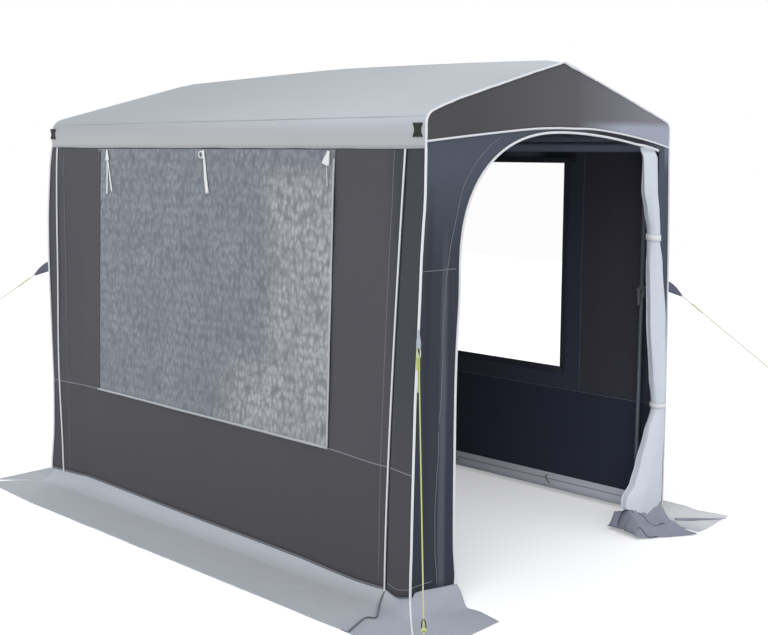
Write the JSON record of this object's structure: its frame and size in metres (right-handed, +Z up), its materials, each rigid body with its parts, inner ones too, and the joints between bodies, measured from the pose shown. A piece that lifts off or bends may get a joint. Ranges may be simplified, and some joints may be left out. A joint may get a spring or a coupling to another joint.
{
  "type": "utility tent",
  "caption": "Gable roof camping utility tent: bent pole arches with telescopic legs, cloth walls with windows, tied back door curtain, foil window flap, ground skirts and guy ropes.",
  "frame": {"origin": "centre of the footprint on the ground, measured without the guy ropes", "axes": "+Z up, +X along the front gable towards the door curtain, +Y from the door end towards the rear"},
  "size_m": [3.1123, 3.9186, 2.316],
  "materials": {
    "roof_cloth": "coated woven polyester, pale grey",
    "wall_cloth": "coated woven polyester, charcoal",
    "gable_cloth": "coated woven polyester, dark grey",
    "skirt_cloth": "coated cloth, blue grey",
    "curtain_cloth": "coated woven polyester, pale blue grey",
    "foil_flap": "crinkled silver foil on cloth",
    "white_tape": "woven tape, white",
    "window_net": "fine black mosquito net",
    "clear_film": "clear flexible film",
    "painted_steel": "powder coated steel tube",
    "zinc_steel": "galvanised steel tube",
    "black_plastic": "moulded, black",
    "grey_plastic": "moulded, grey",
    "grey_webbing": "sewn webbing, slate grey",
    "lime_rope": "braided cord, lime"
  },
  "bodies": {
    "root": {"roof_canopy": "roof_cloth", "front_gable": "gable_cloth", "rear_gable": "gable_cloth", "front_wall": "wall_cloth", "rear_wall": "wall_cloth", "left_wall": "wall_cloth", "right_wall": "wall_cloth", "left_window_net": "window_net", "right_window_film": "clear_film", "right_window_roll": "foil_flap", "skirt_left": "skirt_cloth", "skirt_right": "skirt_cloth", "skirt_rear": "skirt_cloth", "skirt_front_left": "skirt_cloth", "skirt_front_right": "skirt_cloth", "door_curtain": "curtain_cloth", "door_curtain_skirt": "skirt_cloth", "curtain_tie_upper": "white_tape", "curtain_tie_lower": "white_tape", "ridge_joint_front": "black_plastic", "ridge_joint_rear": "black_plastic", "ridge_pole": "painted_steel", "eave_pole_left": "painted_steel", "eave_pole_right": "painted_steel", "guy_rope_front_left": "lime_rope", "guy_rope_front_right": "lime_rope", "guy_rope_rear_left": "lime_rope", "arch_tube_front_left": "painted_steel", "leg_clamp_front_left": "grey_plastic", "eave_clip_front_left": "black_plastic", "guy_patch_front_left": "grey_webbing", "arch_tube_front_right": "painted_steel", "leg_clamp_front_right": "grey_plastic", "eave_clip_front_right": "black_plastic", "guy_patch_front_right": "grey_webbing", "arch_tube_rear_left": "painted_steel", "leg_clamp_rear_left": "grey_plastic", "eave_clip_rear_left": "black_plastic", "guy_patch_rear_left": "grey_webbing", "arch_tube_rear_right": "painted_steel", "leg_clamp_rear_right": "grey_plastic", "eave_clip_rear_right": "black_plastic", "guy_patch_rear_right": "grey_webbing"},
    "window_flap": {"left_window_flap": "foil_flap"},
    "tie_rear": {"flap_tie_rear": "white_tape"},
    "tie_middle": {"flap_tie_middle": "white_tape"},
    "tie_front": {"flap_tie_front": "white_tape"},
    "line_adjuster": {"rope_adjuster": "black_plastic"},
    "leg_front_left": {"lower_leg_front_left": "zinc_steel", "leg_foot_front_left": "black_plastic"},
    "lever_front_left": {"clamp_lever_front_left": "grey_plastic"},
    "leg_front_right": {"lower_leg_front_right": "zinc_steel", "leg_foot_front_right": "black_plastic"},
    "lever_front_right": {"clamp_lever_front_right": "grey_plastic"},
    "leg_rear_left": {"lower_leg_rear_left": "zinc_steel", "leg_foot_rear_left": "black_plastic"},
    "lever_rear_left": {"clamp_lever_rear_left": "grey_plastic"},
    "leg_rear_right": {"lower_leg_rear_right": "zinc_steel", "leg_foot_rear_right": "black_plastic"},
    "lever_rear_right": {"clamp_lever_rear_right": "grey_plastic"}
  },
  "joints": [
    {"name": "leg_slide_front_left", "type": "slide", "parent": "root", "child": "leg_front_left", "axis": [0, 0, -1], "range_m": [-0.15, 0.15]},
    {"name": "leg_slide_front_right", "type": "slide", "parent": "root", "child": "leg_front_right", "axis": [0, 0, -1], "range_m": [-0.15, 0.15]},
    {"name": "leg_slide_rear_left", "type": "slide", "parent": "root", "child": "leg_rear_left", "axis": [0, 0, -1], "range_m": [-0.15, 0.15]},
    {"name": "leg_slide_rear_right", "type": "slide", "parent": "root", "child": "leg_rear_right", "axis": [0, 0, -1], "range_m": [-0.15, 0.15]},
    {"name": "lever_hinge_front_left", "type": "hinge", "parent": "root", "child": "lever_front_left", "pos_m": [-0.8245, -1.306, 1.194], "axis": [0, -1, 0], "range_deg": [0, 100]},
    {"name": "lever_hinge_front_right", "type": "hinge", "parent": "root", "child": "lever_front_right", "pos_m": [0.8245, -1.306, 1.194], "axis": [0, 1, 0], "range_deg": [0, 100]},
    {"name": "lever_hinge_rear_left", "type": "hinge", "parent": "root", "child": "lever_rear_left", "pos_m": [-0.8245, 1.306, 1.194], "axis": [0, -1, 0], "range_deg": [0, 100]},
    {"name": "lever_hinge_rear_right", "type": "hinge", "parent": "root", "child": "lever_rear_right", "pos_m": [0.8245, 1.306, 1.194], "axis": [0, 1, 0], "range_deg": [0, 100]},
    {"name": "flap_hinge", "type": "hinge", "parent": "root", "child": "window_flap", "pos_m": [-0.9013, 0, 1.90147], "axis": [0, 1, 0], "range_deg": [0, 85]},
    {"name": "tie_hinge_rear", "type": "hinge", "parent": "window_flap", "child": "tie_rear", "pos_m": [-0.9036, 0.85, 1.89547], "axis": [0, 1, 0], "range_deg": [0, 80]},
    {"name": "tie_hinge_middle", "type": "hinge", "parent": "window_flap", "child": "tie_middle", "pos_m": [-0.9036, 0.034, 1.89547], "axis": [0, 1, 0], "range_deg": [0, 80]},
    {"name": "tie_hinge_front", "type": "hinge", "parent": "window_flap", "child": "tie_front", "pos_m": [-0.9036, -0.824, 1.89547], "axis": [0, 1, 0], "range_deg": [0, 80]},
    {"name": "adjuster_slide", "type": "slide", "parent": "root", "child": "line_adjuster", "axis": [0.5841, 0.567, 0.5808], "range_m": [-0.03, 0.25]}
  ]
}
